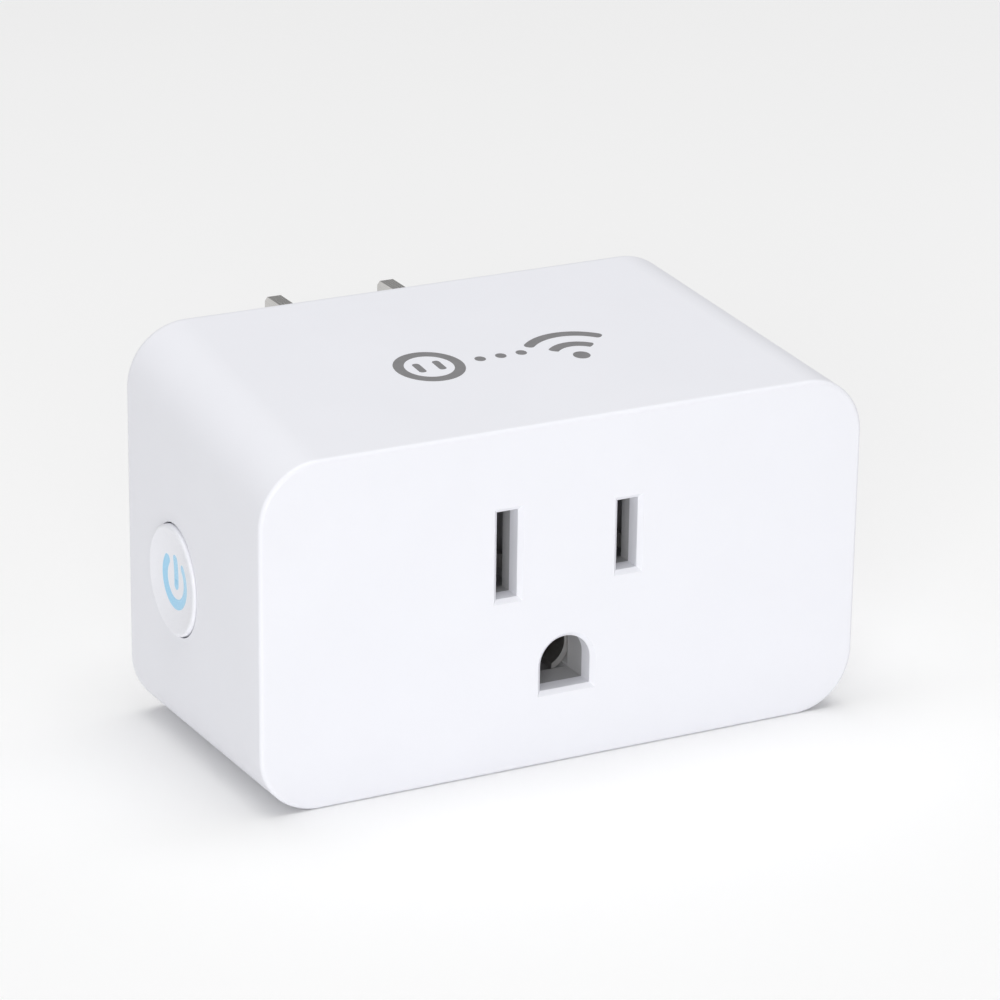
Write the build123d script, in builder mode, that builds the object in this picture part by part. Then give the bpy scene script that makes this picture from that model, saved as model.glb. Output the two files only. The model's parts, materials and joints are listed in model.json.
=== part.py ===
from build123d import *
import math
import os

# Smart plug for a grounded wall socket. Origin: midway between the two flat blades, on the rear
# face. +Y points into the wall, +X to the right as the user sees the front, +Z up. Millimetres.

# Body: a rounded box whose top and bottom open slightly towards the wall.
body_depth = 35.3
front_width, front_height, front_corner = 63.3, 34.3, 6.0
rear_width, rear_height, rear_corner = 59.9, 40.3, 6.2
body_middle = -11.5  # height of the body's centre, below the blade line
wall = 2.0
rim_wall = 1.5  # thinner wall around the rear cover
cover_gap = 0.1
front_edge_round = 0.4
rear_edge_round = 1.2

# Plug blades and ground pin (15 A, 125 V pattern)
blade_pitch = 12.7
ground_drop = 11.89
blade_thick, blade_wide, blade_long = 1.5, 6.35, 18.0
lock_hole_radius, lock_hole_from_face = 1.6, 11.7
pin_radius, pin_long = 2.38, 21.4
pin_shank_radius = 1.5
pin_root_radius = 2.7  # thicker where the rear cover holds it

# Socket in the front face
slot_line = body_middle + 4.75
slot_wide, neutral_slot_tall, line_slot_tall = 2.2, 8.68, 7.04
ground_hole_half, ground_hole_flat = 2.65, 2.57  # half width, and depth of the flat below centre
rim_chamfer = 0.4
socket_bore_radius = 2.44

# Depths along the wall axis
front_face = -body_depth
front_inside = front_face + wall
carrier_front, carrier_rear = front_inside + 0.2, -15.0
carrier_web = 1.4
contact_cover_rear = carrier_rear + 1.6
board_front, board_rear = -6.8, -5.2
cover_thick = 2.2
cover_inside = -cover_thick
ground_contact_front = -30.2

# Button in the left side wall; it travels 0.3 mm inwards, along X
button_depth = -13.67
button_z = body_middle - 1.3
button_hole_radius, button_radius = 5.6, 5.45
button_proud = 0.54  # at the button's centre; the wall leans, so the rear side stands out more
button_dish = 0.6
button_edge_round = 0.3
flange_radius, flange_thick = 6.6, 0.8
symbol_radius, symbol_stroke, symbol_gap = 2.4, 1.0, 96  # gap in degrees
symbol_bar_long, symbol_bar_middle = 3.55, 0.78

# Small screws
screw_radius, pilot_radius, screw_clear, head_radius, head_thick = 1.0, 1.02, 1.2, 1.9, 1.5

neutral_x, line_x = -blade_pitch / 2, blade_pitch / 2
socket_ground_z = slot_line - ground_drop
pin_z = -ground_drop


def across(y):
    # plane square to the wall axis at depth y, with local x = X and local y = Z
    return Plane.XZ.offset(-y)


def outline_size(y, inset=0.0):
    # width, height and corner radius of the body's outline at depth y
    share = (y + body_depth) / body_depth
    width = front_width + (rear_width - front_width) * share
    height = front_height + (rear_height - front_height) * share
    corner = front_corner + (rear_corner - front_corner) * share
    return width - 2 * inset, height - 2 * inset, corner - inset


def body_slice(front, rear, inset=0.0, mode=Mode.ADD):
    # the body's own shape between two depths, drawn in by inset
    sections = []
    for y in (front, rear):
        with BuildSketch(across(y)) as section:
            with Locations((0, body_middle)):
                RectangleRounded(*outline_size(y, inset))
        sections.append(section.sketch)
    loft(sections=sections, ruled=True, mode=mode)


def bar(x_range, y_range, z_range, mode=Mode.ADD):
    # a square block between two corners
    ranges = (x_range, y_range, z_range)
    middle = tuple((low + high) / 2 for low, high in ranges)
    with Locations(middle):
        Box(*(high - low for low, high in ranges), mode=mode)


def peg(x, z, radius, y_range, mode=Mode.ADD):
    # a round post along the wall axis
    with BuildSketch(across(y_range[1])) as circle:
        with Locations((x, z)):
            Circle(radius)
    extrude(circle.sketch, amount=y_range[1] - y_range[0], mode=mode)


def ground_hole(grow=0.0):
    # the D outline of the ground hole: round top, flat bottom
    with BuildSketch(across(front_face), mode=Mode.PRIVATE) as outline:
        with Locations((0, socket_ground_z)):
            Circle(ground_hole_half + grow)
        flat_height = ground_hole_flat + grow
        with Locations((0, socket_ground_z - flat_height / 2)):
            Rectangle(2 * (ground_hole_half + grow), flat_height)
        below = 2.0
        with Locations((0, socket_ground_z - flat_height - below / 2)):
            Rectangle(20, below, mode=Mode.SUBTRACT)
    return outline.sketch


def socket_outlines(grow=0.0):
    # the two blade slots and the ground hole as one sketch at the front face
    with BuildSketch(across(front_face), mode=Mode.PRIVATE) as outline:
        for x, tall in ((neutral_x, neutral_slot_tall), (line_x, line_slot_tall)):
            with Locations((x, slot_line)):
                Rectangle(slot_wide + 2 * grow, tall + 2 * grow)
    return [*outline.sketch.faces(), *ground_hole(grow).faces()]


# Front housing: front face and four side walls in one moulding
carrier_screw_places = [(-14.5, -12.3), (14.5, -12.3)]
snap_places = [-15.0, 15.0]
snap_wide, snap_thick, snap_nose = 6.0, 1.0, 0.85
snap_lift = 16.4  # inner face of a snap arm, from the body's middle
snap_nose_range = (-7.0, -5.6)
control_board_x = (-23.6, -22.4)
rail_thick, rail_gap = 0.8, 0.1

# the button slides along X, although the wall around it leans
button_half_width = outline_size(button_depth)[0] / 2
button_plane = Plane(
    origin=(-button_half_width, button_depth, button_z), x_dir=(0, -1, 0), z_dir=(-1, 0, 0)
)

with BuildPart() as front_housing:
    body_slice(front_face, 0)
    fillet(front_housing.faces().sort_by(Axis.Y)[0].edges(), front_edge_round)
    fillet(front_housing.faces().sort_by(Axis.Y)[-1].edges(), rear_edge_round)
    body_slice(front_inside, 0, wall, mode=Mode.SUBTRACT)
    body_slice(cover_inside, 0, rim_wall, mode=Mode.SUBTRACT)
    # bosses for the contact carrier's screws
    for x, z in carrier_screw_places:
        peg(x, z, 2.5, (front_inside - 0.2, front_inside + 3.0))
        peg(x, z, pilot_radius, (front_inside - 0.6, front_inside + 3.0), mode=Mode.SUBTRACT)
    # rails that hold the control board's top and bottom edges
    for z_range in ((-0.7, 5.3), (-28.3, -22.3)):
        low_side = control_board_x[0] - rail_gap
        high_side = control_board_x[1] + rail_gap
        bar((low_side - rail_thick, low_side), (front_inside - 0.2, -20.0), z_range)
        bar((high_side, high_side + rail_thick), (front_inside - 0.2, -20.0), z_range)
    # pockets for the rear cover's snap noses
    for x in snap_places:
        for side in (1, -1):
            reach = [body_middle + side * (snap_lift + lift) for lift in (0.5, 2.1)]
            pocket_y = (snap_nose_range[0] - 0.2, snap_nose_range[1] + 0.2)
            half = snap_wide / 2 + 0.2
            bar((x - half, x + half), pocket_y, sorted(reach), mode=Mode.SUBTRACT)
    # socket slots and ground hole, with a chamfered rim
    extrude(socket_outlines(), amount=-wall - 1, mode=Mode.SUBTRACT)
    chamfer(front_housing.faces().sort_by(Axis.Y)[0].inner_wires().edges(), rim_chamfer)
    # round hole for the button
    with BuildSketch(button_plane):
        Circle(button_hole_radius)
    extrude(amount=3, both=True, mode=Mode.SUBTRACT)
front_housing.part.label = "front_housing"

# Rear cover: flat plate with blade slots, board bosses and four snap arms
board_screw_places = [(0.0, 2.2), (-8.5, -24.8), (8.5, -24.8)]
label_wide, label_tall, label_deep = 34.0, 7.0, 0.3

with BuildPart() as rear_cover:
    body_slice(cover_inside, 0, rim_wall + cover_gap)
    with BuildSketch(across(0)):
        with Locations((neutral_x, 0), (line_x, 0)):
            Rectangle(blade_thick, blade_wide)
        with Locations((0, pin_z)):
            Circle(pin_root_radius)
    extrude(amount=cover_thick, mode=Mode.SUBTRACT)
    with BuildSketch(across(0)):
        with Locations((0, body_middle - 11.5)):
            RectangleRounded(label_wide, label_tall, 1.0)
    extrude(amount=label_deep, mode=Mode.SUBTRACT)
    for x, z in board_screw_places:
        peg(x, z, 2.2, (board_rear, cover_inside))
        peg(x, z, pilot_radius, (board_rear, cover_inside + 1.0), mode=Mode.SUBTRACT)
    for x in snap_places:
        for side in (1, -1):
            arm = [body_middle + side * (snap_lift + lift) for lift in (0, snap_thick)]
            nose = [body_middle + side * (snap_lift + lift) for lift in (0, snap_thick + snap_nose)]
            half = snap_wide / 2
            bar((x - half, x + half), (-7.4, cover_inside), sorted(arm))
            bar((x - half, x + half), snap_nose_range, sorted(nose))
rear_cover.part.label = "rear_cover"

# Flat blades: tip bevelled, a lock hole, and a shoulder behind the cover
shoulder_wide, shoulder_long, blade_root = 7.9, 2.2, -8.4
tip_bevel, tip_edge = 1.0, 0.4
blades = {}
for blade_name, x in (("neutral_blade", neutral_x), ("line_blade", line_x)):
    with BuildPart() as blade:
        half_thick, half_wide = blade_thick / 2, blade_wide / 2
        bar((x - half_thick, x + half_thick), (blade_root, blade_long), (-half_wide, half_wide))
        chamfer(blade.faces().sort_by(Axis.Y)[-1].edges().filter_by(Axis.X), tip_bevel)
        chamfer(blade.faces().sort_by(Axis.Y)[-1].edges(), tip_edge)
        shoulder = shoulder_wide / 2
        shoulder_y = (cover_inside - shoulder_long, cover_inside)
        bar((x - half_thick, x + half_thick), shoulder_y, (-shoulder, shoulder))
        with BuildSketch(Plane.YZ.offset(x - 1)):
            with Locations((lock_hole_from_face, 0)):
                Circle(lock_hole_radius)
        extrude(amount=2, mode=Mode.SUBTRACT)
    blade.part.label = blade_name
    blades[blade_name] = blade

# Ground pin: round nose, collar behind the cover, thin shank to the strap
strap_range = (-12.6, -11.8)
collar_radius, collar_front = 3.4, cover_inside - 1.4
with BuildPart() as ground_pin:
    with BuildSketch(Plane.XY.offset(pin_z)):
        with BuildLine():
            straight_end = pin_long - pin_radius
            Polyline(
                (0, strap_range[0]),
                (pin_shank_radius, strap_range[0]),
                (pin_shank_radius, collar_front),
                (collar_radius, collar_front),
                (collar_radius, cover_inside),
                (pin_root_radius, cover_inside),
                (pin_root_radius, 0),
                (pin_radius, 0),
                (pin_radius, straight_end),
            )
            RadiusArc((pin_radius, straight_end), (0, pin_long), -pin_radius)
            Line((0, pin_long), (0, strap_range[0]))
        make_face()
    revolve(axis=Axis((0, 0, pin_z), (0, 1, 0)))
ground_pin.part.label = "ground_pin"

# Contact carrier: insulating block behind the front face, open to the rear
carrier_half = 11.0
carrier_z = (-23.2, -1.8)
pocket_wide = 6.0
neutral_pocket_tall, line_pocket_tall = 10.4, 8.8
ground_pocket_radius = 3.7
ear_y = (front_inside + 3.0, front_inside + 5.0)
cover_peg_places = [(-9.2, -19.5), (9.2, -19.5)]

with BuildPart() as contact_carrier:
    bar((-carrier_half, carrier_half), (carrier_front, carrier_rear), carrier_z)
    fillet(contact_carrier.edges().filter_by(Axis.Y), 1.5)
    with BuildSketch(across(carrier_rear)):
        with Locations((neutral_x, slot_line)):
            Rectangle(pocket_wide, neutral_pocket_tall)
        with Locations((line_x, slot_line)):
            Rectangle(pocket_wide, line_pocket_tall)
    extrude(amount=carrier_rear - carrier_front - carrier_web, mode=Mode.SUBTRACT)
    ground_pocket = (ground_contact_front - 0.1, carrier_rear)
    peg(0, socket_ground_z, ground_pocket_radius, ground_pocket, mode=Mode.SUBTRACT)
    extrude(socket_outlines(0.1), amount=-10, mode=Mode.SUBTRACT)
    for x, z in carrier_screw_places:
        side = math.copysign(1, x)
        bar(sorted((side * carrier_half, side * (abs(x) + 2.5))), ear_y, (z - 2.5, z + 2.5))
        peg(x, z, screw_clear, ear_y, mode=Mode.SUBTRACT)
    for x, z in cover_peg_places:
        peg(x, z, 0.9, (carrier_rear, contact_cover_rear + 0.3))
contact_carrier.part.label = "contact_carrier"

# Contact cover: closes the carrier and lets the contact tails through
tail_thick, busbar_thick = 0.6, 0.6
tail_half_tall = 2.0
ground_tail_z = (socket_ground_z + socket_bore_radius, socket_ground_z + socket_bore_radius + tail_thick)
ground_tail_half = 1.5

with BuildPart() as contact_cover:
    bar((-carrier_half, carrier_half), (carrier_rear, contact_cover_rear), carrier_z)
    fillet(contact_cover.edges().filter_by(Axis.Y), 1.5)
    with BuildSketch(across(contact_cover_rear)):
        with Locations((neutral_x + 1.65, slot_line), (line_x - 1.65, slot_line)):
            Rectangle(tail_thick + 0.3, 2 * tail_half_tall + 0.4)
        with Locations((0, socket_ground_z)):
            Circle(2.9)
        with Locations((0, socket_ground_z + 2.6)):
            Rectangle(2 * ground_tail_half + 0.4, 1.6)
        with Locations(*cover_peg_places):
            Circle(0.95)
    extrude(amount=contact_cover_rear - carrier_rear, mode=Mode.SUBTRACT)
contact_cover.part.label = "contact_cover"

# Blade contacts: U-shaped spring clips with a flared mouth, pinched throat and one long tail
clip_mouth, clip_throat, clip_rear, clip_tail_end = -31.0, -28.8, -16.2, -11.0
finger_tall, finger_drop = 1.4, 2.5  # only a narrow finger of each leaf flares out to the slot
clips = {}
clip_sizes = (
    ("neutral_contact", neutral_x, 1, neutral_slot_tall),
    ("line_contact", line_x, -1, line_slot_tall),
)
for clip_name, x, tail_side, slot_tall in clip_sizes:
    with BuildPart() as clip:
        with BuildSketch(Plane.XY.offset(slot_line - slot_tall / 2)):
            with BuildLine():
                Polyline(
                    (x + 0.0, clip_rear - 0.6),
                    (x + 1.35, clip_rear - 0.6),
                    (x + 1.35, -25.0),
                    (x + 0.72, clip_throat),
                    (x + 1.9, clip_mouth),
                    (x + 2.5, clip_mouth),
                    (x + 1.36, clip_throat),
                    (x + 1.95, -25.1),
                    (x + 1.95, clip_rear),
                    (x + 0.0, clip_rear),
                    close=True,
                )
            make_face()
            mirror(about=Plane.YZ.offset(x))
        extrude(amount=slot_tall)
        finger_middle = slot_line - finger_drop
        above = (finger_middle + finger_tall / 2, slot_line + slot_tall / 2)
        below = (slot_line - slot_tall / 2, finger_middle - finger_tall / 2)
        for z_range in (above, below):
            bar((x - 3, x + 3), (clip_mouth, clip_throat), z_range, mode=Mode.SUBTRACT)
        tail_x = sorted((x + tail_side * 1.35, x + tail_side * (1.35 + tail_thick)))
        bar(tail_x, (clip_rear, clip_tail_end), (slot_line - tail_half_tall, slot_line + tail_half_tall))
    clip.part.label = clip_name
    clips[clip_name] = clip

# Ground contact: split sleeve that grips a round pin, with a tail to the strap
sleeve_outer = socket_bore_radius + tail_thick
with BuildPart() as ground_contact:
    peg(0, socket_ground_z, sleeve_outer, (ground_contact_front, -17.0))
    bar((-ground_tail_half, ground_tail_half), (-17.5, strap_range[0]), ground_tail_z)
    peg(0, socket_ground_z, socket_bore_radius, (ground_contact_front, -17.0), mode=Mode.SUBTRACT)
    slit = 1.1
    slit_z = (socket_ground_z - 4, socket_ground_z)
    bar((-slit, slit), (ground_contact_front, -17.0), slit_z, mode=Mode.SUBTRACT)
ground_contact.part.label = "ground_contact"

# Busbars: flat plates that join the clips' tails to the neutral blade and to the board
busbar_x = {
    "neutral": (neutral_x + blade_thick / 2, neutral_x + 1.35),
    "line": (line_x - 1.35, line_x - blade_thick / 2),
}
with BuildPart() as neutral_busbar:
    with BuildSketch(Plane.YZ.offset(busbar_x["neutral"][0])):
        Polygon(
            (-13.2, slot_line - 2), (-9.8, slot_line - 2), (-7.0, -3.0), (-7.0, 3.0),
            (-8.6, 3.0), (-11.0, slot_line + 2), (-13.2, slot_line + 2), align=None,
        )
    extrude(amount=busbar_thick)
neutral_busbar.part.label = "neutral_busbar"

line_foot = (slot_line - 1.0, slot_line + 1.0)
with BuildPart() as line_busbar:
    bar(busbar_x["line"], (-13.2, board_front - 0.3), (slot_line - 2, slot_line + 2))
    bar(busbar_x["line"], (board_front - 0.3, board_rear), line_foot)
line_busbar.part.label = "line_busbar"

# Ground strap: joins the ground contact's tail to the pin's shank
with BuildPart() as ground_strap:
    with BuildSketch(across(strap_range[1])):
        with Locations((0, -13.45)):
            RectangleRounded(5.2, 7.1, 1.5)
        with Locations((0, pin_z)):
            Circle(pin_shank_radius, mode=Mode.SUBTRACT)
    extrude(amount=strap_range[1] - strap_range[0])
ground_strap.part.label = "ground_strap"


def pan_screws(places, head_base, shank_end):
    # cross-head screws that point to the wall (+Y) or to the front (-Y)
    towards = math.copysign(1, shank_end - head_base)
    for x, z in places:
        head_top = head_base - towards * head_thick
        peg(x, z, head_radius, sorted((head_base, head_top)))
        peg(x, z, screw_radius, sorted((head_base, shank_end)))
        for size in ((1.1, 0.25), (0.25, 1.1)):
            slot_y = sorted((head_top, head_top + towards * 0.8))
            bar((x - size[0], x + size[0]), slot_y, (z - size[1], z + size[1]), mode=Mode.SUBTRACT)


with BuildPart() as carrier_screws:
    pan_screws(carrier_screw_places, ear_y[1], front_inside + 0.2)
carrier_screws.part.label = "carrier_screws"

with BuildPart() as board_screws:
    pan_screws(board_screw_places, board_front, cover_inside - 0.6)
board_screws.part.label = "board_screws"

# Main board
board_wide, board_tall = 53.0, 31.2
relay_pin_places = [(17.0, -9.5), (24.0, -9.5), (17.6, 1.2)]
relay_pin_radius = 0.4
with BuildPart() as main_board:
    with BuildSketch(across(board_rear)):
        with Locations((0, body_middle)):
            RectangleRounded(board_wide, board_tall, 3.0)
        with Locations((neutral_x, 0), (line_x, 0)):
            Rectangle(blade_thick + 0.2, blade_wide + 0.2, mode=Mode.SUBTRACT)
        with Locations((sum(busbar_x["line"]) / 2, slot_line)):
            Rectangle(busbar_thick + 0.2, line_foot[1] - line_foot[0] + 0.2, mode=Mode.SUBTRACT)
        with Locations((0, pin_z)):
            Circle(pin_shank_radius + 0.2, mode=Mode.SUBTRACT)
        with Locations(*board_screw_places):
            Circle(screw_clear, mode=Mode.SUBTRACT)
        with Locations(*relay_pin_places):
            Circle(relay_pin_radius, mode=Mode.SUBTRACT)
    extrude(amount=board_rear - board_front)
main_board.part.label = "main_board"

# Solder joints on the board's rear side
solder_places = [
    (-15.6 + dx, z) for z in (-22.6, -14.2, -6.5) for dx in (-1.8, 1.8)
] + [(-18.1, -0.6), (-13.1, -0.6), (21.0, -23.8), (21.0, -19.4), (13.6, -26.2), (13.6, -16.8)]
with BuildPart() as solder_joints:
    for x, z in solder_places + relay_pin_places:
        with BuildSketch(across(board_rear)) as pad:
            with Locations((x, z)):
                Circle(1.0)
        extrude(pad.sketch, amount=-0.8, taper=40)
solder_joints.part.label = "solder_joints"

# Button: dished cap with a flange behind the wall, and a clear guide carrying the power symbol
cap_skin = -1.2
flange_top = -wall - 0.45
flange_bottom = flange_top - flange_thick
guide_radius = 4.5
tact_cover_face = -26.0
plunger_top = tact_cover_face - 0.9
plunger_gap = 0.05
dish_reach = 5.1
dish_sphere = (dish_reach**2 + button_dish**2) / (2 * button_dish)


def dish():
    # ball that hollows the button's outer face
    with Locations(button_plane * Location((0, 0, button_proud - button_dish + dish_sphere))):
        Sphere(dish_sphere, mode=Mode.SUBTRACT)


def power_symbol():
    # open ring with an upright bar in its gap
    with BuildSketch(button_plane.offset(cap_skin), mode=Mode.PRIVATE) as symbol:
        Circle(symbol_radius + symbol_stroke / 2)
        Circle(symbol_radius - symbol_stroke / 2, mode=Mode.SUBTRACT)
        reach = 2 * symbol_radius
        half_gap = math.radians(symbol_gap / 2)
        side, rise = reach * math.sin(half_gap), reach * math.cos(half_gap)
        Polygon((0, 0), (side, rise), (-side, rise), align=None, mode=Mode.SUBTRACT)
        with Locations((side / 2, rise / 2), (-side / 2, rise / 2)):
            Circle(symbol_stroke / 2)
        with Locations((0, symbol_bar_middle)):
            SlotOverall(symbol_bar_long, symbol_stroke, rotation=90)
    return symbol.sketch


with BuildPart() as button_cap:
    with BuildSketch(button_plane.offset(flange_bottom)):
        Circle(button_radius)
    extrude(amount=button_proud - flange_bottom)
    fillet(button_cap.faces().sort_by(Axis.X)[0].edges(), button_edge_round)
    with BuildSketch(button_plane.offset(flange_bottom)):
        Circle(flange_radius)
    extrude(amount=flange_thick)
    with BuildSketch(button_plane.offset(flange_bottom)):
        Circle(guide_radius)
    extrude(amount=cap_skin - flange_bottom, mode=Mode.SUBTRACT)
    extrude(power_symbol().faces(), amount=3, mode=Mode.SUBTRACT)
    dish()
button_cap.part.label = "button_cap"

with BuildPart() as button_light_guide:
    with BuildSketch(button_plane.offset(cap_skin - 0.8)):
        Circle(guide_radius)
    extrude(amount=0.8)
    extrude(power_symbol().faces(), amount=3)
    with BuildSketch(button_plane.offset(cap_skin - 0.8)):
        Circle(1.5)
    extrude(amount=-3)
    inside = plunger_top - plunger_gap
    bar((inside, inside + 5), (-20, -5), (button_z - 5, button_z + 5), mode=Mode.SUBTRACT)
    dish()
button_light_guide.part.label = "button_light_guide"

# Control board: stands by the left wall, behind the button
control_y, control_z = (-29.0, -7.2), (-23.5, 0.5)
with BuildPart() as control_board:
    bar(control_board_x, control_y, control_z)
control_board.part.label = "control_board"

# Tact switch on the control board: base with a round well, steel cover, plunger, snap dome
tact_half = 3.1
tact_face = control_board_x[0]


def across_x(x):
    # plane square to the X axis, with local x = Y and local y = Z
    return Plane.YZ.offset(x)


def stud(x_range, radius, y=button_depth, z=button_z, mode=Mode.ADD):
    # a round post along the X axis
    with BuildSketch(across_x(x_range[0])) as circle:
        with Locations((y, z)):
            Circle(radius)
    extrude(circle.sketch, amount=x_range[1] - x_range[0], mode=mode)


tact_square = (
    (button_depth - tact_half, button_depth + tact_half),
    (button_z - tact_half, button_z + tact_half),
)
with BuildPart() as tact_switch_base:
    bar((tact_cover_face + 0.3, tact_face), *tact_square)
    stud((tact_cover_face + 0.3, tact_face - 0.6), 2.35, mode=Mode.SUBTRACT)
tact_switch_base.part.label = "tact_switch_base"

with BuildPart() as tact_switch_cover:
    bar((tact_cover_face, tact_cover_face + 0.3), *tact_square)
    stud((tact_cover_face, tact_cover_face + 0.3), 1.85, mode=Mode.SUBTRACT)
tact_switch_cover.part.label = "tact_switch_cover"

plunger_flange = (tact_cover_face + 0.35, tact_cover_face + 0.95)
with BuildPart() as tact_switch_plunger:
    stud((plunger_top, plunger_flange[0]), 1.7)
    stud(plunger_flange, 2.1)
tact_switch_plunger.part.label = "tact_switch_plunger"

dome_radius, dome_rise, dome_thick = 2.1, 0.4, 0.12
dome_sphere = (dome_radius**2 + dome_rise**2) / (2 * dome_rise)
with BuildPart() as tact_switch_dome:
    stud((plunger_flange[1], plunger_flange[1] + dome_rise), dome_radius)
    with Locations((plunger_flange[1] + dome_sphere, button_depth, button_z)):
        Sphere(dome_sphere, mode=Mode.INTERSECT)
        Sphere(dome_sphere - dome_thick, mode=Mode.SUBTRACT)
tact_switch_dome.part.label = "tact_switch_dome"

with BuildPart() as status_lights:
    for z in (button_z - 4.9, button_z + 4.9):
        bar((tact_face - 0.7, tact_face), (button_depth - 0.8, button_depth + 0.8), (z - 0.45, z + 0.45))
status_lights.part.label = "status_lights"

# Radio on the control board's inner side
radio_face = control_board_x[1]
shield_y, shield_z, shield_tall, shield_wall = (-27.0, -17.0), (-22.0, -12.5), 2.0, 0.25
with BuildPart() as radio_shield:
    bar((radio_face, radio_face + shield_tall), shield_y, shield_z)
    fillet(radio_shield.faces().sort_by(Axis.X)[-1].edges(), 0.4)
    inner_y = (shield_y[0] + shield_wall, shield_y[1] - shield_wall)
    inner_z = (shield_z[0] + shield_wall, shield_z[1] - shield_wall)
    bar((radio_face, radio_face + shield_tall - shield_wall), inner_y, inner_z, mode=Mode.SUBTRACT)
radio_shield.part.label = "radio_shield"

with BuildPart() as radio_chip:
    bar((radio_face, radio_face + 0.9), (-24.5, -19.5), (-19.8, -14.8))
radio_chip.part.label = "radio_chip"

with BuildPart() as crystal:
    bar((radio_face, radio_face + 0.8), (-15.6, -13.1), (-20.0, -16.8))
    fillet(crystal.edges().filter_by(Axis.X), 0.3)
crystal.part.label = "crystal"

antenna_line, antenna_step, antenna_turns = 0.6, 1.5, 6
antenna_low, antenna_high = -10.2, -2.0
with BuildPart() as antenna:
    for turn in range(antenna_turns):
        y = -27.5 + turn * antenna_step
        bar((radio_face, radio_face + 0.3), (y, y + antenna_line), (antenna_low, antenna_high))
        end_z = antenna_high if turn % 2 == 0 else antenna_low
        inward = -antenna_line if turn % 2 == 0 else antenna_line
        link_z = sorted((end_z, end_z + inward))
        if turn < antenna_turns - 1:
            bar((radio_face, radio_face + 0.3), (y, y + antenna_step + antenna_line), link_z)
antenna.part.label = "antenna"

# Header between the control board and the main board
header_pin_zs = [-20.0 + 2.0 * index for index in range(7)]
pin_half = 0.25
header_pin_x = radio_face + 1.0


def header_pin(z, mode=Mode.ADD):
    # bent pin: along the wall to the main board, with a foot on the control board
    z_range = (z - pin_half, z + pin_half)
    bar((header_pin_x - pin_half, header_pin_x + pin_half), (-10.6, board_front), z_range, mode)
    bar((radio_face, header_pin_x + pin_half), (-10.6, -10.1), z_range, mode)


with BuildPart() as header_block:
    bar((radio_face, radio_face + 2.0), (-9.4, board_front - 0.2), (-21.0, -7.0))
    for z in header_pin_zs:
        header_pin(z, mode=Mode.SUBTRACT)
header_block.part.label = "header_block"

with BuildPart() as header_pins:
    for z in header_pin_zs:
        header_pin(z)
header_pins.part.label = "header_pins"

# Relay: coil on an iron yoke pulls a hinged armature that carries the moving contact
relay_x, relay_z = (15.0, 26.0), (-15.5, 3.5)
relay_top, relay_seam, relay_foot = -22.2, -8.6, -7.2
relay_wall = 0.8
coil_x, coil_y = sum(relay_x) / 2, -14.0
core_radius, pole_radius = 1.5, 2.8
coil_z = (-11.4, -3.6)
flange_half, bobbin_flange = 4.2, 0.8
pole_face = -2.2
yoke_x = (coil_x - 3.0, coil_x + 3.0)
terminal_x = (coil_x - 1.5, coil_x + 1.5)
contact_y = -19.6


def coil_peg(radius, z_range, y=coil_y, mode=Mode.ADD):
    # a round post along the Z axis at the relay's middle
    with BuildSketch(Plane.XY.offset(z_range[0])) as circle:
        with Locations((coil_x, y)):
            Circle(radius)
    extrude(circle.sketch, amount=z_range[1] - z_range[0], mode=mode)


with BuildPart() as relay_case:
    bar(relay_x, (relay_top, relay_seam), relay_z)
    fillet(relay_case.faces().sort_by(Axis.Y)[0].edges(), 0.5)
    case_x = (relay_x[0] + relay_wall, relay_x[1] - relay_wall)
    case_z = (relay_z[0] + relay_wall, relay_z[1] - relay_wall)
    bar(case_x, (relay_top + relay_wall, relay_seam), case_z, mode=Mode.SUBTRACT)
relay_case.part.label = "relay_case"

strip_low, strip_thick = -14.4, 0.5
with BuildPart() as relay_base:
    bar(relay_x, (relay_seam, relay_foot), relay_z)
    bar(terminal_x, (relay_seam, relay_foot), (strip_low, strip_low + strip_thick), mode=Mode.SUBTRACT)
relay_base.part.label = "relay_base"

with BuildPart() as relay_core:
    coil_peg(core_radius, (coil_z[0] - bobbin_flange - 0.4, pole_face))
    coil_peg(pole_radius, (pole_face - 0.6, pole_face))
relay_core.part.label = "relay_core"

with BuildPart() as relay_bobbin:
    coil_peg(2.1, (coil_z[0] - bobbin_flange, coil_z[1] + bobbin_flange))
    for low in (coil_z[0] - bobbin_flange, coil_z[1]):
        bar(
            (coil_x - flange_half, coil_x + flange_half),
            (coil_y - flange_half, coil_y + flange_half),
            (low, low + bobbin_flange),
        )
    coil_peg(core_radius, (coil_z[0] - bobbin_flange, coil_z[1] + bobbin_flange), mode=Mode.SUBTRACT)
relay_bobbin.part.label = "relay_bobbin"

with BuildPart() as relay_coil:
    coil_peg(3.9, coil_z)
    coil_peg(2.1, coil_z, mode=Mode.SUBTRACT)
relay_coil.part.label = "relay_coil"

yoke_foot_top = coil_z[0] - bobbin_flange - 0.4
with BuildPart() as relay_yoke:
    bar(yoke_x, (-16.0, -8.7), (yoke_foot_top - 1.0, yoke_foot_top))
    bar(yoke_x, (-9.7, -8.7), (yoke_foot_top - 1.0, -2.0))
relay_yoke.part.label = "relay_yoke"

armature_z = (-1.7, -0.7)
with BuildPart() as relay_armature:
    bar((yoke_x[0] - 0.2, yoke_x[1] + 0.2), (-18.2, -9.0), armature_z)
    fillet(relay_armature.edges().filter_by(Axis.Z), 0.5)
relay_armature.part.label = "relay_armature"

with BuildPart() as relay_moving_contact:
    bar(terminal_x, (-20.9, -11.0), (armature_z[1], armature_z[1] + 0.3))
    coil_peg(1.1, (-1.5, armature_z[1]), y=contact_y)
relay_moving_contact.part.label = "relay_moving_contact"

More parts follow.
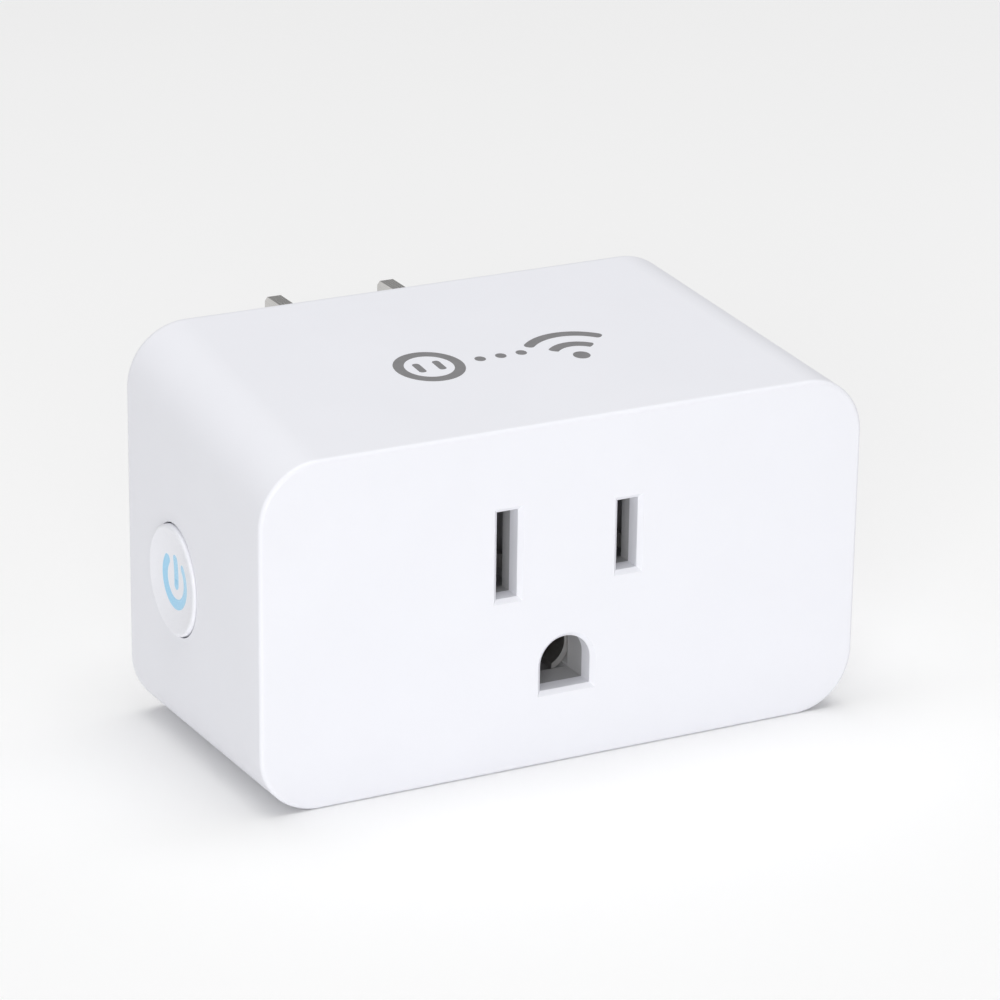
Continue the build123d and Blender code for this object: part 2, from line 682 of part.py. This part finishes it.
fixed_contact_face = -2.3
with BuildPart() as relay_fixed_contact:
    coil_peg(1.1, (-3.0, fixed_contact_face), y=contact_y)
    bar(terminal_x, (-21.0, -18.6), (-3.5, -3.0))
    bar(terminal_x, (-21.0, -20.5), (strip_low, -3.0))
    bar(terminal_x, (-21.0, relay_foot), (strip_low, strip_low + strip_thick))
relay_fixed_contact.part.label = "relay_fixed_contact"

with BuildPart() as relay_pins:
    for x, z in relay_pin_places:
        peg(x, z, relay_pin_radius, (relay_foot, board_rear))
relay_pins.part.label = "relay_pins"


def leads(places, length=0.2, radius=0.3):
    # wire stubs between a component and the main board
    for x, z in places:
        peg(x, z, radius, (board_front - length, board_front))


# Power supply parts on the main board
component_foot = board_front - 0.2
can_radius, can_top = 4.0, -19.0
can_places = [(-15.6, -22.6), (-15.6, -14.2)]
with BuildPart() as bulk_capacitors:
    for x, z in can_places:
        with BuildSketch(Plane.XY.offset(z)) as profile:
            with Locations((x, 0)):
                Polygon(
                    (0, component_foot), (can_radius, component_foot), (can_radius, component_foot - 1.2),
                    (can_radius - 0.35, component_foot - 1.6), (can_radius, component_foot - 2.0),
                    (can_radius, can_top + 0.4), (can_radius - 0.4, can_top), (0, can_top), align=None,
                )
        revolve(profile.sketch, axis=Axis((x, 0, z), (0, 1, 0)))
        leads([(x - 1.8, z), (x + 1.8, z)])
bulk_capacitors.part.label = "bulk_capacitors"

with BuildPart() as film_capacitor:
    bar((-19.5, -11.7), (-18.0, component_foot), (-9.8, -3.2))
    fillet(film_capacitor.edges().filter_by(Axis.Y), 0.6)
    leads([(-17.4, -6.5), (-13.8, -6.5)])
film_capacitor.part.label = "film_capacitor"

with BuildPart() as surge_varistor:
    with BuildSketch(Plane.XY.offset(-2.4)):
        with Locations((-15.6, -12.2)):
            Circle(4.2)
    extrude(amount=3.6)
    fillet(surge_varistor.edges(), 0.8)
    for x in (-18.1, -13.1):
        peg(x, -0.6, 0.35, (-10.0, board_front))
surge_varistor.part.label = "surge_varistor"

choke_x, choke_z = 21.0, -21.6
with BuildPart() as choke_core:
    peg(choke_x, choke_z, 2.0, (-17.0, component_foot))
    for low in (-17.0, component_foot - 1.2):
        peg(choke_x, choke_z, 4.2, (low, low + 1.2))
    leads([(choke_x, choke_z - 2.2), (choke_x, choke_z + 2.2)])
choke_core.part.label = "choke_core"

with BuildPart() as choke_winding:
    peg(choke_x, choke_z, 3.7, (-15.8, component_foot - 1.2))
    peg(choke_x, choke_z, 2.0, (-15.8, component_foot - 1.2), mode=Mode.SUBTRACT)
choke_winding.part.label = "choke_winding"

fuse_x, fuse_y, fuse_z = 13.6, -9.3, (-25.5, -17.5)
with BuildPart() as fuse_resistor:
    with BuildSketch(Plane.YZ.offset(fuse_x)):
        with Locations((fuse_y, 0)):
            Polygon(
                (0, fuse_z[0]),
                (1.5, fuse_z[0] + 0.3),
                (1.7, fuse_z[0] + 1.2),
                (1.45, fuse_z[0] + 2.0),
                (1.45, fuse_z[1] - 2.0),
                (1.7, fuse_z[1] - 1.2),
                (1.5, fuse_z[1] - 0.3),
                (0, fuse_z[1]),
                align=None,
            )
    revolve(axis=Axis((fuse_x, fuse_y, 0), (0, 0, 1)))
    lead_x = (fuse_x - 0.3, fuse_x + 0.3)
    for end, out in ((fuse_z[0] + 0.2, -1), (fuse_z[1] - 0.2, 1)):
        lead_end = end + out * 1.0
        bar(lead_x, (fuse_y - 0.3, fuse_y + 0.3), sorted((end, lead_end)))
        bar(lead_x, (fuse_y - 0.3, board_front), sorted((lead_end, lead_end - out * 0.6)))
fuse_resistor.part.label = "fuse_resistor"

with BuildPart() as bridge_rectifier:
    bar((-2.4, 2.4), (-9.3, component_foot), (-26.6, -22.8))
    for x in (-1.6, 1.6):
        for z_range in ((-26.9, -25.9), (-23.5, -22.5)):
            bar((x - 0.3, x + 0.3), (component_foot, board_front), z_range)
bridge_rectifier.part.label = "bridge_rectifier"

with BuildPart() as power_chip:
    bar((-1.95, 1.95), (-8.5, component_foot), (-8.2, -3.3))
    for side in (-1, 1):
        for row in range(4):
            z = -7.65 + 1.27 * row
            leg_x = sorted((side * 1.5, side * 3.0))
            bar(leg_x, (component_foot, board_front), (z - 0.2, z + 0.2))
power_chip.part.label = "power_chip"

with BuildPart() as small_passives:
    for x in (-8.6, 8.6):
        for row in range(6):
            z = -20.6 + 2.2 * row
            bar((x - 1.0, x + 1.0), (board_front - 0.7, board_front), (z - 0.6, z + 0.6))
small_passives.part.label = "small_passives"

pieces = [
    front_housing, rear_cover, *blades.values(), ground_pin, contact_carrier, contact_cover,
    *clips.values(), ground_contact, neutral_busbar, line_busbar, ground_strap, carrier_screws,
    board_screws, main_board, solder_joints, button_cap, button_light_guide, control_board,
    tact_switch_base, tact_switch_cover, tact_switch_plunger, tact_switch_dome, status_lights,
    radio_shield, radio_chip, crystal, antenna, header_block, header_pins, relay_case, relay_base,
    relay_core, relay_bobbin, relay_coil, relay_yoke, relay_armature, relay_moving_contact,
    relay_fixed_contact, relay_pins, bulk_capacitors, film_capacitor, surge_varistor, choke_core,
    choke_winding, fuse_resistor, bridge_rectifier, power_chip, small_passives,
]
os.makedirs("parts", exist_ok=True)
for piece in pieces:
    export_step(piece.part, f"parts/{piece.part.label}.step")
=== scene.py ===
import json
import math
import bmesh
import bpy
from mathutils import Matrix, Vector


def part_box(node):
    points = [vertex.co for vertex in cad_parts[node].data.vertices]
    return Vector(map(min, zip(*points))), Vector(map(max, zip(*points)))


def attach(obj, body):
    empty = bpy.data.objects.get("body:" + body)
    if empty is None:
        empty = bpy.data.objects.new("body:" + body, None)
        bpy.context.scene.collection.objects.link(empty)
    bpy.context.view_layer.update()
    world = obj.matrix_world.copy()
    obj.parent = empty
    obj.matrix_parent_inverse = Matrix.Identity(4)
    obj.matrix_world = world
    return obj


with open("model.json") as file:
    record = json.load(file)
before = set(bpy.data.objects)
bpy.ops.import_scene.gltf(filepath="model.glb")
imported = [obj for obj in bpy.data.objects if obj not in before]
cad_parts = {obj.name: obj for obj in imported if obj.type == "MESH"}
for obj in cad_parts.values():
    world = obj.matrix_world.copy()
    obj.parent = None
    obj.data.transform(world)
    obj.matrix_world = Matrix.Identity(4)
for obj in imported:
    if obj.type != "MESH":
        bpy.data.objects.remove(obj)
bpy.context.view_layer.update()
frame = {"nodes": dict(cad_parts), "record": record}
nodes = frame["nodes"]
print("frame loaded:", len(nodes), "nodes")

mm = 0.001
shellLow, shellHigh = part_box("front_housing")
frontFace, rearFace = shellLow.y, shellHigh.y
bodyMiddle = (shellLow.z + shellHigh.z) / 2


def linkMesh(name, bm):
    mesh = bpy.data.meshes.new(name)
    bm.to_mesh(mesh)
    bm.free()
    piece = bpy.data.objects.new(name, mesh)
    bpy.context.scene.collection.objects.link(piece)
    return piece


# camera
cameraSetup = {
    "azimuth": -27.53, "elevation": 20.58, "roll": 0.80,  # degrees
    "distance": 404.2 * mm, "focal": 158.0, "sensor": 36,
    "aim": (-7.35 * mm, 0.0, 10.43 * mm),  # from the middle of the front face
    "clip": (0.01, 20),
}


def makeCamera():
    azimuth = math.radians(cameraSetup["azimuth"])
    elevation = math.radians(cameraSetup["elevation"])
    roll = math.radians(cameraSetup["roll"])
    flat = math.cos(elevation)
    back = Vector((math.sin(azimuth) * flat, -math.cos(azimuth) * flat, math.sin(elevation)))
    right = (-back).cross(Vector((0, 0, 1))).normalized()
    up = right.cross(-back)
    turnedRight = right * math.cos(roll) + up * math.sin(roll)
    turnedUp = up * math.cos(roll) - right * math.sin(roll)
    data = bpy.data.cameras.new("studioCamera")
    data.lens = cameraSetup["focal"]
    data.sensor_width = cameraSetup["sensor"]
    data.clip_start, data.clip_end = cameraSetup["clip"]
    camera = bpy.data.objects.new("studioCamera", data)
    aim = Vector((0, frontFace, bodyMiddle)) + Vector(cameraSetup["aim"])
    place = Matrix((turnedRight, turnedUp, back)).transposed().to_4x4()
    place.translation = aim + back * cameraSetup["distance"]
    camera.matrix_world = place
    bpy.context.scene.collection.objects.link(camera)
    bpy.context.scene.camera = camera


# materials: every finish starts from one shader and reads object coordinates
noiseLow, noiseHigh = 0.3, 0.7  # nearly all of a noise texture's values lie between these
cloudDetail, patchDetail, grainDetail = 2, 3, 4
bandWidth = math.pi / 10  # one band of a wave texture at scale 1


def startMaterial(name):
    material = bpy.data.materials.new(name)
    material.use_nodes = True
    tree = material.node_tree
    shader = tree.nodes["Principled BSDF"]
    coords = tree.nodes.new("ShaderNodeTexCoord").outputs["Object"]
    return material, tree, shader, coords


def addNoise(tree, coords, grain, detail=patchDetail, stretch=(1, 1, 1)):
    # noise whose cells are about grain metres across, longer where stretch is below 1
    mapping = tree.nodes.new("ShaderNodeMapping")
    mapping.inputs["Scale"].default_value = stretch
    tree.links.new(coords, mapping.inputs["Vector"])
    noise = tree.nodes.new("ShaderNodeTexNoise")
    noise.inputs["Scale"].default_value = 1 / grain
    noise.inputs["Detail"].default_value = detail
    tree.links.new(mapping.outputs["Vector"], noise.inputs["Vector"])
    return noise.outputs["Fac"]


def addRoughness(tree, value, shader, span):
    # the noise spreads the roughness over the span
    node = tree.nodes.new("ShaderNodeMapRange")
    node.inputs["From Min"].default_value = noiseLow
    node.inputs["From Max"].default_value = noiseHigh
    node.inputs["To Min"].default_value, node.inputs["To Max"].default_value = span
    tree.links.new(value, node.inputs["Value"])
    tree.links.new(node.outputs["Result"], shader.inputs["Roughness"])


def addColors(tree, value, shader, colors):
    # base colour from a ramp whose stops are evenly spaced over the noise
    ramp = tree.nodes.new("ShaderNodeValToRGB")
    stops = ramp.color_ramp.elements
    while len(stops) < len(colors):
        stops.new(0.5)
    for index, color in enumerate(colors):
        stops[index].position = noiseLow + (noiseHigh - noiseLow) * index / (len(colors) - 1)
        stops[index].color = (*color, 1)
    tree.links.new(value, ramp.inputs["Fac"])
    tree.links.new(ramp.outputs["Color"], shader.inputs["Base Color"])


def addBump(tree, height, shader, depth, after=None):
    bump = tree.nodes.new("ShaderNodeBump")
    bump.inputs["Strength"].default_value = 1.0
    bump.inputs["Distance"].default_value = depth
    tree.links.new(height, bump.inputs["Height"])
    if after is not None:
        tree.links.new(after, bump.inputs["Normal"])
    tree.links.new(bump.outputs["Normal"], shader.inputs["Normal"])
    return bump.outputs["Normal"]


def tinted(color, share):
    return tuple(min(1.0, channel * share) for channel in color)


# moulded, cast and printed finishes
casing = {
    "cloud": 9 * mm, "shade": 0.012, "wave": 0.0006,  # wave is the cloud's height as a share of its width
    "grain": 0.16 * mm, "depth": 0.006 * mm, "roughness": (0.42, 0.56), "ior": 1.46, "coatRoughness": 0.12,
}
plastics = {
    "housing_plastic": {**casing, "color": (0.845, 0.85, 0.895)},
    "cover_plastic": {
        **casing, "color": (0.83, 0.835, 0.88), "grain": 0.25 * mm, "depth": 0.012 * mm,
        "roughness": (0.5, 0.66),
    },
    "button_plastic": {
        **casing, "color": (0.84, 0.845, 0.89), "grain": 0.1 * mm, "depth": 0.002 * mm,
        "roughness": (0.26, 0.36),
    },
    "light_guide": {
        **casing, "color": (0.27, 0.50, 0.68), "grain": 0.1 * mm, "depth": 0.002 * mm,
        "roughness": (0.2, 0.3), "coat": 0.2, "glow": (0.30, 0.62, 0.85), "glowStrength": 0.2,
    },
    # the carrier is light plastic; its mid grey is painted shade that darkens the insides of the slots
    "carrier_plastic": {
        **casing, "color": (0.45, 0.45, 0.46), "shade": 0.05, "grain": 0.2 * mm, "depth": 0.01 * mm,
    },
    "black_plastic": {**casing, "color": (0.035, 0.035, 0.037), "shade": 0.25, "depth": 0.01 * mm},
    "led_resin": {**casing, "color": (0.82, 0.88, 0.95), "roughness": (0.1, 0.2), "coat": 0.5},
    "chip_resin": {
        **casing, "color": (0.045, 0.045, 0.05), "shade": 0.3, "grain": 0.12 * mm, "depth": 0.012 * mm,
        "roughness": (0.5, 0.75),
    },
    "relay_plastic": {**casing, "color": (0.06, 0.14, 0.32), "shade": 0.15, "roughness": (0.3, 0.45)},
    "film_yellow": {
        **casing, "color": (0.62, 0.46, 0.06), "shade": 0.08, "roughness": (0.22, 0.4), "coat": 0.2,
    },
    "varistor_blue": {
        **casing, "color": (0.05, 0.14, 0.42), "shade": 0.2, "wave": 0.004, "cloud": 1.5 * mm,
        "roughness": (0.18, 0.3), "coat": 0.4,
    },
    "ferrite": {
        **casing, "color": (0.07, 0.07, 0.075), "shade": 0.3, "grain": 0.3 * mm, "depth": 0.03 * mm,
        "roughness": (0.6, 0.85),
    },
    "resistor_ceramic": {
        **casing, "color": (0.20, 0.30, 0.17), "shade": 0.1, "wave": 0.003, "cloud": 1.2 * mm,
        "roughness": (0.25, 0.4), "coat": 0.3,
    },
    "passive_ceramic": {
        **casing, "color": (0.32, 0.22, 0.14), "shade": 0.2, "grain": 0.1 * mm, "roughness": (0.4, 0.6),
    },
    "mark_ink": {
        **casing, "color": (0.225, 0.222, 0.228), "shade": 0.1, "cloud": 1.2 * mm, "grain": 0.09 * mm,
        "roughness": (0.5, 0.66),
    },
}


def mouldedPlastic(name, look):
    # fine spark-eroded grain, a faint cloudy tint, and roughness that changes a little across a face
    material, tree, shader, coords = startMaterial(name)
    cloud = addNoise(tree, coords, look["cloud"], cloudDetail)
    addColors(tree, cloud, shader, [tinted(look["color"], 1 - look["shade"]), look["color"]])
    grain = addNoise(tree, coords, look["grain"], grainDetail)
    addRoughness(tree, grain, shader, look["roughness"])
    wave = addBump(tree, cloud, shader, look["cloud"] * look["wave"])
    addBump(tree, grain, shader, look["depth"], after=wave)
    shader.inputs["IOR"].default_value = look["ior"]
    if look.get("coat"):
        shader.inputs["Coat Weight"].default_value = look["coat"]
        shader.inputs["Coat Roughness"].default_value = look["coatRoughness"]
    if look.get("glow"):
        shader.inputs["Emission Color"].default_value = (*look["glow"], 1)
        shader.inputs["Emission Strength"].default_value = look["glowStrength"]
    return material


# bare and plated metals
tarnishShares = (0.92, 1.0, 1.04)  # darker and lighter patches of a metal's colour
metals = {
    "nickel_plated": {
        "color": (0.60, 0.59, 0.575), "patch": 9 * mm, "grain": 0.09 * mm, "stretch": (1, 0.04, 1),
        "depth": 0.002 * mm, "roughness": (0.2, 0.3),
    },
    "spring_bronze": {
        "color": (0.54, 0.53, 0.52), "patch": 3 * mm, "grain": 0.1 * mm, "stretch": (1, 0.08, 1),
        "depth": 0.005 * mm, "roughness": (0.4, 0.55),
    },
    "busbar_brass": {
        "color": (0.76, 0.60, 0.31), "patch": 3 * mm, "grain": 0.1 * mm, "stretch": (1, 1, 0.08),
        "depth": 0.005 * mm, "roughness": (0.24, 0.42),
    },
    "screw_steel": {
        "color": (0.55, 0.55, 0.56), "patch": 1 * mm, "grain": 0.1 * mm, "stretch": (1, 1, 1),
        "depth": 0.01 * mm, "roughness": (0.28, 0.45),
    },
    "spring_steel": {
        "color": (0.66, 0.66, 0.66), "patch": 1 * mm, "grain": 0.08 * mm, "stretch": (1, 0.1, 1),
        "depth": 0.004 * mm, "roughness": (0.18, 0.32),
    },
    "solder": {
        "color": (0.68, 0.68, 0.69), "patch": 0.5 * mm, "grain": 0.3 * mm, "stretch": (1, 1, 1),
        "depth": 0.03 * mm, "roughness": (0.16, 0.4),
    },
    "shield_steel": {
        "color": (0.62, 0.62, 0.61), "patch": 2 * mm, "grain": 0.1 * mm, "stretch": (1, 0.08, 1),
        "depth": 0.006 * mm, "roughness": (0.24, 0.42),
    },
    "copper_trace": {
        "color": (0.74, 0.40, 0.24), "patch": 1 * mm, "grain": 0.08 * mm, "stretch": (1, 1, 1),
        "depth": 0.004 * mm, "roughness": (0.3, 0.45),
    },
    "relay_iron": {
        "color": (0.56, 0.56, 0.58), "patch": 2 * mm, "grain": 0.15 * mm, "stretch": (0.1, 1, 1),
        "depth": 0.01 * mm, "roughness": (0.3, 0.5),
    },
}


def workedMetal(name, look):
    # drawn or rolled metal: long fine streaks along the stretched axis, and a slight tarnish
    material, tree, shader, coords = startMaterial(name)
    shader.inputs["Metallic"].default_value = 1.0
    tarnish = addNoise(tree, coords, look["patch"])
    addColors(tree, tarnish, shader, [tinted(look["color"], share) for share in tarnishShares])
    streaks = addNoise(tree, coords, look["grain"], grainDetail, look["stretch"])
    addRoughness(tree, streaks, shader, look["roughness"])
    addBump(tree, streaks, shader, look["depth"])
    return material


# enamelled wire of the relay's coil and the choke
coilWire = {
    # the groove share below darkens the colour between the turns: painted shade
    "color": (0.62, 0.24, 0.10), "grooveShadeShare": 0.45, "metallic": 0.85, "axis": "Z", "wire": 0.25 * mm,
    "wander": 0.35, "grain": 0.4 * mm, "roughness": (0.2, 0.36), "depthShare": 0.5,
}


def woundWire(name, look):
    # wire laid turn beside turn round one axis, with painted shade darkening the grooves between the turns
    material, tree, shader, coords = startMaterial(name)
    shader.inputs["Metallic"].default_value = look["metallic"]
    turns = tree.nodes.new("ShaderNodeTexWave")
    turns.bands_direction = look["axis"]
    turns.inputs["Scale"].default_value = bandWidth / look["wire"]
    turns.inputs["Distortion"].default_value = look["wander"]
    tree.links.new(coords, turns.inputs["Vector"])
    # painted shade: the wire's colour is darkened in the grooves between the turns
    addColors(tree, turns.outputs["Fac"], shader, [tinted(look["color"], look["grooveShadeShare"]), look["color"]])
    addRoughness(tree, addNoise(tree, coords, look["grain"]), shader, look["roughness"])
    addBump(tree, turns.outputs["Fac"], shader, look["wire"] * look["depthShare"])
    return material


# green lacquer of the two circuit boards
boardLacquer = {
    "color": (0.012, 0.10, 0.045), "copper": (0.03, 0.17, 0.06), "track": 1.6 * mm, "depth": 0.03 * mm,
    "grain": 0.3 * mm, "roughness": (0.22, 0.4), "coat": 0.4,
}


def solderMask(name, look):
    # lacquer over copper tracks that show as a pattern of raised blocks
    material, tree, shader, coords = startMaterial(name)
    tracks = tree.nodes.new("ShaderNodeTexVoronoi")
    tracks.distance = "CHEBYCHEV"
    tracks.inputs["Scale"].default_value = 1 / look["track"]
    tree.links.new(coords, tracks.inputs["Vector"])
    addColors(tree, tracks.outputs["Distance"], shader, [look["copper"], look["color"]])
    addRoughness(tree, addNoise(tree, coords, look["grain"]), shader, look["roughness"])
    addBump(tree, tracks.outputs["Distance"], shader, look["depth"])
    shader.inputs["Coat Weight"].default_value = look["coat"]
    return material


# sleeve of the two bulk capacitors
capacitorSleeve = {
    "color": (0.02, 0.03, 0.08), "stripe": (0.55, 0.56, 0.58),
    "stripeAway": 3.2 * mm, "stripeEdge": 0.1 * mm,  # pale beyond this distance to the left of the middle
    "grain": 0.5 * mm, "roughness": (0.2, 0.36), "ripple": 2 * mm, "depth": 0.04 * mm,
}


def bandedSleeve(name, look):
    # shrink sleeve with a pale stripe down one side
    material, tree, shader, coords = startMaterial(name)
    low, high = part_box("bulk_capacitors")
    stripeX = (low.x + high.x) / 2 - look["stripeAway"]
    split = tree.nodes.new("ShaderNodeSeparateXYZ")
    tree.links.new(coords, split.inputs["Vector"])
    stripe = tree.nodes.new("ShaderNodeMapRange")
    stripe.inputs["From Min"].default_value = stripeX - look["stripeEdge"]
    stripe.inputs["From Max"].default_value = stripeX + look["stripeEdge"]
    tree.links.new(split.outputs["X"], stripe.inputs["Value"])
    mix = tree.nodes.new("ShaderNodeMix")
    mix.data_type = "RGBA"
    mix.inputs["A"].default_value = (*look["stripe"], 1)
    mix.inputs["B"].default_value = (*look["color"], 1)
    tree.links.new(stripe.outputs["Result"], mix.inputs["Factor"])
    tree.links.new(mix.outputs["Result"], shader.inputs["Base Color"])
    addRoughness(tree, addNoise(tree, coords, look["grain"]), shader, look["roughness"])
    addBump(tree, addNoise(tree, coords, look["ripple"]), shader, look["depth"])
    return material


def makeFinishes():
    made = {slot: mouldedPlastic(slot, look) for slot, look in plastics.items()}
    made.update({slot: workedMetal(slot, look) for slot, look in metals.items()})
    made["copper_wire"] = woundWire("copper_wire", coilWire)
    made["circuit_board"] = solderMask("circuit_board", boardLacquer)
    made["capacitor_sleeve"] = bandedSleeve("capacitor_sleeve", capacitorSleeve)
    return made


def dressNodes(finishes):
    for part in frame["record"]["subparts"]:
        mesh = nodes[part["node"]].data
        mesh.materials.clear()
        mesh.materials.append(finishes[part["material_slot"]])


# the top and bottom walls slope; their flat part is read from the housing itself
wallReading = {"halfWidth": 22 * mm, "endDepth": 2 * mm}


def wallEnds(side):
    # the two ends of the top wall (side 1) or bottom wall (side -1), front end first
    corners = [vertex.co for vertex in nodes["front_housing"].data.vertices]
    flat = [co for co in corners if abs(co.x) < wallReading["halfWidth"]]
    depth = wallReading["endDepth"]

    def furthest(low, high):
        return max((co for co in flat if low < co.y < high), key=lambda co: side * co.z)

    return furthest(frontFace, frontFace + depth), furthest(rearFace - depth, rearFace)


# printed mark on the top wall: an outlet, three link dots and radio waves
topMark = {
    "middle": (0.7 * mm, -19.6 * mm), "stroke": 1.05 * mm, "thick": 0.02 * mm, "lift": 0.005 * mm,
    "outletX": -7.6 * mm, "outletRadius": 2.95 * mm,
    "slotTall": 2.1 * mm, "slotWide": 0.75 * mm, "slotGap": 2.1 * mm,
    "dotX": (-2.2 * mm, 0.0, 2.2 * mm), "dotRadius": 0.55 * mm,
    "waveX": 7.4 * mm, "waveFoot": -2.7 * mm, "waveRadii": (2.9 * mm, 5.4 * mm), "waveSpread": 96,
    "waveDot": 0.85 * mm, "waveDotLift": 0.17 * mm,
    "discSides": 40, "arcStep": 5, "endRounding": 0.45, "slotRounding": 0.42, "roundingSteps": 5,
}


def roundCorners(bm, corners, offset):
    bmesh.ops.bevel(
        bm, geom=corners, affect="VERTICES", offset=offset, segments=topMark["roundingSteps"],
        profile=0.5, material=-1,
    )


def flatArc(bm, center, radius, startAngle, spread):
    # a strip turned round its centre; an open one gets round ends
    start = math.radians(startAngle)
    way = Vector((math.cos(start), math.sin(start), 0))
    stroke = topMark["stroke"]
    ends = [bm.verts.new(center + way * (radius + side * stroke / 2)) for side in (-1, 1)]
    edge = bm.edges.new(ends)
    closed = spread == 360
    made = bmesh.ops.spin(
        bm, geom=[*ends, edge], cent=center, axis=(0, 0, 1), angle=math.radians(spread),
        steps=round(spread / topMark["arcStep"]), use_merge=closed,
    )
    if not closed:
        last = [part for part in made["geom_last"] if isinstance(part, bmesh.types.BMVert)]
        roundCorners(bm, ends + last, stroke * topMark["endRounding"])


def flatDisc(bm, center, radius):
    bmesh.ops.create_circle(
        bm, cap_ends=True, segments=topMark["discSides"], radius=radius, matrix=Matrix.Translation(center),
    )


def flatBar(bm, center, wide, tall):
    made = bmesh.ops.create_grid(
        bm, x_segments=1, y_segments=1, size=0.5,
        matrix=Matrix.Translation(center) @ Matrix.Diagonal((wide, tall, 1, 1)),
    )
    roundCorners(bm, made["verts"], wide * topMark["slotRounding"])


def makeTopMark(ink):
    bm = bmesh.new()
    outlet = Vector((topMark["outletX"], 0, 0))
    flatArc(bm, outlet, topMark["outletRadius"], 0, 360)
    for side in (-1, 1):
        slot = outlet + Vector((side * topMark["slotGap"] / 2, 0, 0))
        flatBar(bm, slot, topMark["slotWide"], topMark["slotTall"])
    for x in topMark["dotX"]:
        flatDisc(bm, Vector((x, 0, 0)), topMark["dotRadius"])
    waveFoot = Vector((topMark["waveX"], topMark["waveFoot"], 0))
    flatDisc(bm, waveFoot + Vector((0, topMark["waveDotLift"], 0)), topMark["waveDot"])
    for radius in topMark["waveRadii"]:
        flatArc(bm, waveFoot, radius, 90 - topMark["waveSpread"] / 2, topMark["waveSpread"])
    bmesh.ops.recalc_face_normals(bm, faces=bm.faces)
    turned = [face for face in bm.faces if face.normal.z < 0]
    bmesh.ops.reverse_faces(bm, faces=turned)
    raised = bmesh.ops.extrude_face_region(bm, geom=bm.faces[:])
    lifted = [part for part in raised["geom"] if isinstance(part, bmesh.types.BMVert)]
    bmesh.ops.translate(bm, vec=(0, 0, topMark["thick"]), verts=lifted)
    bmesh.ops.recalc_face_normals(bm, faces=bm.faces)
    # lay it on the sloping wall
    nearFront, nearRear = wallEnds(1)
    slope = (nearRear.z - nearFront.z) / (nearRear.y - nearFront.y)
    x, y = topMark["middle"]
    z = nearFront.z + slope * (y - nearFront.y) + topMark["lift"]
    place = Matrix.Translation((x, y, z)) @ Matrix.Rotation(math.atan(slope), 4, "X")
    bmesh.ops.transform(bm, matrix=place, verts=bm.verts)
    mark = linkMesh("topMark", bm)
    mark.data.materials.append(ink)
    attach(mark, "housing")


# floor and lights
floorLook = {
    "color": (0.99, 0.99, 0.99), "shade": 0.01, "cloud": 200 * mm, "roughness": 0.9,
    "size": 3.0, "gap": 0.02 * mm,
}
worldLook = {"color": (1.0, 1.0, 1.0), "strength": 0.37}
lights = {
    "keySoftbox": {"place": (-0.6, -1.04, 0.2), "size": 0.6, "power": 8.5},
    "topSoftbox": {"place": (0.1, 0.1, 2.0), "size": 1.8, "power": 26.0},
}


def makeFloor():
    # the plug stands on its sloping bottom wall, so the pale sheet lies along it
    nearFront, nearRear = wallEnds(-1)
    rise = math.atan2(nearRear.z - nearFront.z, nearRear.y - nearFront.y)
    bm = bmesh.new()
    bmesh.ops.create_grid(bm, x_segments=1, y_segments=1, size=floorLook["size"] / 2)
    bmesh.ops.rotate(bm, cent=(0, 0, 0), matrix=Matrix.Rotation(rise, 3, "X"), verts=bm.verts)
    bmesh.ops.translate(bm, vec=(0, nearRear.y, nearRear.z - floorLook["gap"]), verts=bm.verts)
    floor = linkMesh("paleFloor", bm)
    material, tree, shader, coords = startMaterial("paleFloor")
    cloud = addNoise(tree, coords, floorLook["cloud"], cloudDetail)
    darker = tinted(floorLook["color"], 1 - floorLook["shade"])
    addColors(tree, cloud, shader, [darker, floorLook["color"]])
    shader.inputs["Roughness"].default_value = floorLook["roughness"]
    floor.data.materials.append(material)


def makeLights():
    world = bpy.data.worlds.new("softRoom")
    world.use_nodes = True
    background = world.node_tree.nodes["Background"]
    background.inputs["Color"].default_value = (*worldLook["color"], 1)
    background.inputs["Strength"].default_value = worldLook["strength"]
    bpy.context.scene.world = world
    middle = Vector((0, (frontFace + rearFace) / 2, bodyMiddle))
    for name, setup in lights.items():
        data = bpy.data.lights.new(name, "AREA")
        data.size = setup["size"]
        data.energy = setup["power"]
        light = bpy.data.objects.new(name, data)
        light.location = setup["place"]
        light.rotation_euler = (light.location - middle).to_track_quat("Z", "Y").to_euler()
        bpy.context.scene.collection.objects.link(light)
    bpy.context.scene.view_settings.view_transform = "Standard"


makeCamera()
print("camera set")
finishes = makeFinishes()
dressNodes(finishes)
print("finishes made:", len(finishes))
makeTopMark(finishes["mark_ink"])
print("top mark printed")
makeFloor()
makeLights()
print("floor and lights set")
